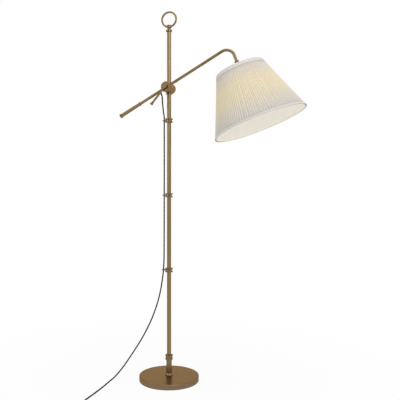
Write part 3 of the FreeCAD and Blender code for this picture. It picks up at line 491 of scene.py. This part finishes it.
def make_cords():
    """The upper cord in three pieces, and the rest to the plug."""
    exit_place = (-0.025797, -0.0335, 1.221352)
    upper_route = [
        exit_place,
        (-0.01966, -0.0335, 1.210347),
        (-0.0203, -0.0302, 1.193),
        (-0.0215, -0.0205, 1.169),
        (-0.0227, -0.0085, 1.145),
        (-0.0216, 0.0, 1.1242),
        tuple(clip_place),
    ]
    lower_route = [
        tuple(clip_place),
        (-0.0216, 0.0, 0.540),
        (-0.0243, 0.0, 0.474),
        (-0.0296, -0.0008, 0.428),
        (-0.0376, -0.0026, 0.378),
        (-0.0510, -0.0056, 0.322),
        (-0.0765, -0.0094, 0.252),
        (-0.1135, -0.0140, 0.178),
        (-0.1615, -0.0170, 0.103),
        (-0.2000, -0.0280, 0.044),
        (-0.2260, -0.0550, 0.008),
        (-0.2320, -0.0960, 0.0032),
        (-0.2300, -0.1660, 0.0032),
        (-0.2318, -0.2480, 0.0032),
        (-0.2351, -0.3300, 0.0038),
        (-0.2353, -0.3810, 0.0042),
        (-0.2353, -0.4110, 0.0042),
    ]
    upper, upper_length = even_line(route_points(upper_route), cord_step)
    frames = carried_frames(upper)
    steps = len(upper) - 1
    first_cut = round(steps * arm_piece_end)
    second_cut = round(steps * knuckle_piece_end)
    parts = [
        ("cord_at_arm", 0, first_cut, "arm", "knuckle"),
        ("cord_at_knuckle", first_cut, second_cut, "knuckle", "slider"),
        ("cord_at_clip", second_cut, steps, "slider", "root"),
    ]
    for name, first, last, a, b in parts:
        piece = twisted_pair(name, upper, frames, first, last, 0.0)
        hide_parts("cord_upper")
        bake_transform(piece)

    lower, _ = even_line(route_points(lower_route + coil_points()), cord_step)
    main = twisted_pair("cord_main", lower, carried_frames(lower), 0, len(lower) - 1, upper_length)
    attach(main, "root")
    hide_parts("cord_lower", "cord_coil")


# ---------------------------------------------------------------- shade
def on_head(obj):
    """Place a piece made round the lamp head's own axis, and let it ride on the arm."""
    place = Matrix.Translation(arm_tip_place) @ Matrix.Rotation(math.radians(-head_lean), 4, "Y")
    obj.data.transform(place)
    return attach(obj, "arm")


def radius_at(drop):
    """The shade's outer radius, by the distance below its top edge."""
    return shade_top_radius + (shade_bottom_radius - shade_top_radius) * drop / shade_height


def cloth(name, stops, valley_painted_shade):
    """Cloth coloured by its depth down the shade, with painted lamplight, painted shade in its
    folds and a fine weave.
    """
    material = surface(name, (0.93, 0.93, 0.93), (1.0, 1.0, 1.0), 0.0, 0.85, (900, 900, 140), 5.0,
                       0.25, sheen=0.25)
    tree = material.node_tree
    shader = tree.nodes["Principled BSDF"]
    weave = shader.inputs["Base Color"].links[0].from_socket
    place = tree.nodes.new("ShaderNodeTexCoord")
    offset = tree.nodes.new("ShaderNodeVectorMath")
    offset.operation = "SUBTRACT"
    offset.inputs[1].default_value = arm_tip_place
    along = tree.nodes.new("ShaderNodeVectorMath")
    along.operation = "DOT_PRODUCT"
    lean = math.radians(head_lean)
    along.inputs[1].default_value = (math.sin(lean), 0, -math.cos(lean))
    share = tree.nodes.new("ShaderNodeMapRange")
    share.inputs["From Min"].default_value = shade_drop
    share.inputs["From Max"].default_value = shade_drop + shade_height
    ramp = tree.nodes.new("ShaderNodeValToRGB")
    ramp.color_ramp.elements[0].position = stops[0][0]
    ramp.color_ramp.elements[0].color = (*stops[0][1], 1)
    ramp.color_ramp.elements[1].position = stops[-1][0]
    ramp.color_ramp.elements[1].color = (*stops[-1][1], 1)
    for position, colour in stops[1:-1]:
        ramp.color_ramp.elements.new(position).color = (*colour, 1)
    # painted shade in the pleats: the colour is multiplied down towards each valley
    fold = tree.nodes.new("ShaderNodeAttribute")
    fold.attribute_name = "fold"
    fold_painted_shade = tree.nodes.new("ShaderNodeMapRange")
    fold_painted_shade.inputs["To Min"].default_value = valley_painted_shade
    fold_painted_shade.inputs["To Max"].default_value = 1.0
    shade = tree.nodes.new("ShaderNodeVectorMath")
    shade.operation = "MULTIPLY"
    both = tree.nodes.new("ShaderNodeVectorMath")
    both.operation = "MULTIPLY"
    tree.links.new(place.outputs["Object"], offset.inputs[0])
    tree.links.new(offset.outputs[0], along.inputs[0])
    tree.links.new(along.outputs["Value"], share.inputs["Value"])
    tree.links.new(share.outputs[0], ramp.inputs["Fac"])
    tree.links.new(fold.outputs["Fac"], fold_painted_shade.inputs["Value"])
    tree.links.new(ramp.outputs["Color"], shade.inputs[0])
    tree.links.new(fold_painted_shade.outputs[0], shade.inputs[1])
    tree.links.new(shade.outputs[0], both.inputs[0])
    tree.links.new(weave, both.inputs[1])
    tree.links.new(both.outputs[0], shader.inputs["Base Color"])
    return material


def tube_faces(rows, columns):
    """Faces between rings of points, each ring below the one before it."""
    faces = []
    for row in range(rows):
        top = row * columns
        low = top + columns
        for column in range(columns):
            after = (column + 1) % columns
            faces.append((low + column, low + after, top + after, top + column))
    return faces


def make_cover():
    """Hand-folded pleats, each a little different in width, depth and lie."""
    columns = pleat_count * pleat_columns
    lean = [rng.uniform(-1, 1) for _ in range(pleat_count)]
    width = [rng.uniform(-1, 1) for _ in range(pleat_count)]
    depth = [rng.uniform(pleat_least_depth, 1.0) for _ in range(pleat_count)]
    wander = [rng.uniform(-1, 1) for _ in range(pleat_count)]
    points = []
    crests = []
    for row in range(pleat_rows + 1):
        share = row / pleat_rows
        drop = share * shade_height
        outer = radius_at(drop) - shade_skin
        fold = fold_at_top + fold_growth * share
        bow = math.sin(math.pi * share)
        edge_shift = [pleat_width_spread * w + pleat_wander_spread * bow * s
                      for w, s in zip(width, wander)]
        for column in range(columns):
            pleat, step = divmod(column, pleat_columns)
            part = step / pleat_columns
            start = edge_shift[pleat] + pleat
            after = (pleat + 1) % pleat_count
            end = edge_shift[after] + pleat + 1
            crest = 0.5 + pleat_lean_spread * lean[pleat]
            wave = part / crest if part < crest else (1 - part) / (1 - crest)
            rounded = wave * wave * (3 - 2 * wave)
            wave = rounded * crest_roundness + wave * (1 - crest_roundness)
            angle = 2 * math.pi * (start + (end - start) * part) / pleat_count
            r = outer - fold * depth[pleat] * (1 - wave)
            points.append((r * math.cos(angle), r * math.sin(angle), -shade_drop - drop))
            crests.append(wave)
    cover = new_mesh("pleated_cover", points, tube_faces(pleat_rows, columns))
    # each point's crest share, which the cloth uses to paint shade into the valleys
    cover.data.attributes.new("fold", "FLOAT", "POINT").data.foreach_set("value", crests)
    skin = cover.modifiers.new("thickness", "SOLIDIFY")
    skin.thickness = cloth_thickness
    skin.offset = -1.0
    cover.data.materials.append(shade_fabric)
    on_head(cover)
    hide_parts("shade_cover")
    return cover


def make_trim(name, node, drop_from, drop_to):
    """A folded band of the same cloth over the pleats' ends, a little uneven at its inner edge."""
    # share of the band's height, and how far the section stands out in half thicknesses
    section = [(0.0, -1.6), (0.04, 0.35), (0.12, 0.75), (0.5, 1.0),
               (0.88, 0.75), (0.96, 0.35), (1.0, -1.6)]
    waves = [(rng.uniform(3, 60), rng.uniform(0, 6.28), rng.uniform(0.2, 1.0))
             for _ in range(band_waves)]
    points = []
    for drop_share, outset in section:
        inner_edge = drop_from > 0 and drop_share < 0.5 or drop_from == 0 and drop_share > 0.5
        for column in range(band_columns):
            angle = 2 * math.pi * column / band_columns
            drop = drop_from + (drop_to - drop_from) * drop_share
            if inner_edge and 0 < drop_share < 1:
                wobble = sum(size * math.sin(round(rate) * angle + shift)
                             for rate, shift, size in waves) / band_waves
                drop += band_edge_wander * wobble
            ripple = math.sin(pleat_count * angle) * band_ripple
            r = radius_at(drop) + band_thickness * outset * 0.5 + ripple
            points.append((r * math.cos(angle), r * math.sin(angle), -shade_drop - drop))
    band = new_mesh(name, points, tube_faces(len(section) - 1, band_columns))
    band.data.materials.append(trim_fabric)
    on_head(band)
    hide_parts(node)
    return band


# ---------------------------------------------------------------- the scene
camera_and_light()
make_floor()
reflector_card("card_front", (1.25, -4.2, 0.9), 0.02)
reflector_card("card_left", (-3.4, 1.9, 0.9), 0.03)

strand_materials = [
    surface("cord_black", (0.003, 0.003, 0.004), (0.009, 0.009, 0.011), 0.0, 0.75,
            (300, 300, 300), bump=0.1),
    # the grey strand colour is a painted highlight along the twist
    surface("cord_painted_highlight", (0.065, 0.068, 0.072), (0.105, 0.110, 0.115), 0.0, 0.70,
            (300, 300, 300), bump=0.1),
]
for material in strand_materials:
    shader = material.node_tree.nodes["Principled BSDF"]
    shader.inputs["Specular IOR Level"].default_value = strand_specular

trim_grey = (0.72, 0.69, 0.655)
grey_cloth = (0.715, 0.67, 0.62)
lamplit_cloth = (0.90, 0.785, 0.56)
half_lamplit_cloth = (0.80, 0.735, 0.62)
# from the top edge down: grey, soft, warm, soft, grey; the warm middle is painted lamplight
lamplight_stops = [(0.04, grey_cloth), (0.16, half_lamplit_cloth), (0.34, lamplit_cloth),
               (0.58, lamplit_cloth), (0.78, half_lamplit_cloth), (0.97, grey_cloth)]
shade_fabric = cloth("pleated_cloth", lamplight_stops, 0.80)
trim_fabric = cloth("trim_cloth", [(0.0, trim_grey), (1.0, trim_grey)], 1.0)

make_cords()
paint_nodes()
cover = make_cover()
top_band = make_trim("top_band", "top_trim", 0.0, top_trim_height)
bottom_band = make_trim("bottom_band", "bottom_trim", shade_height - bottom_trim_height,
                        shade_height)
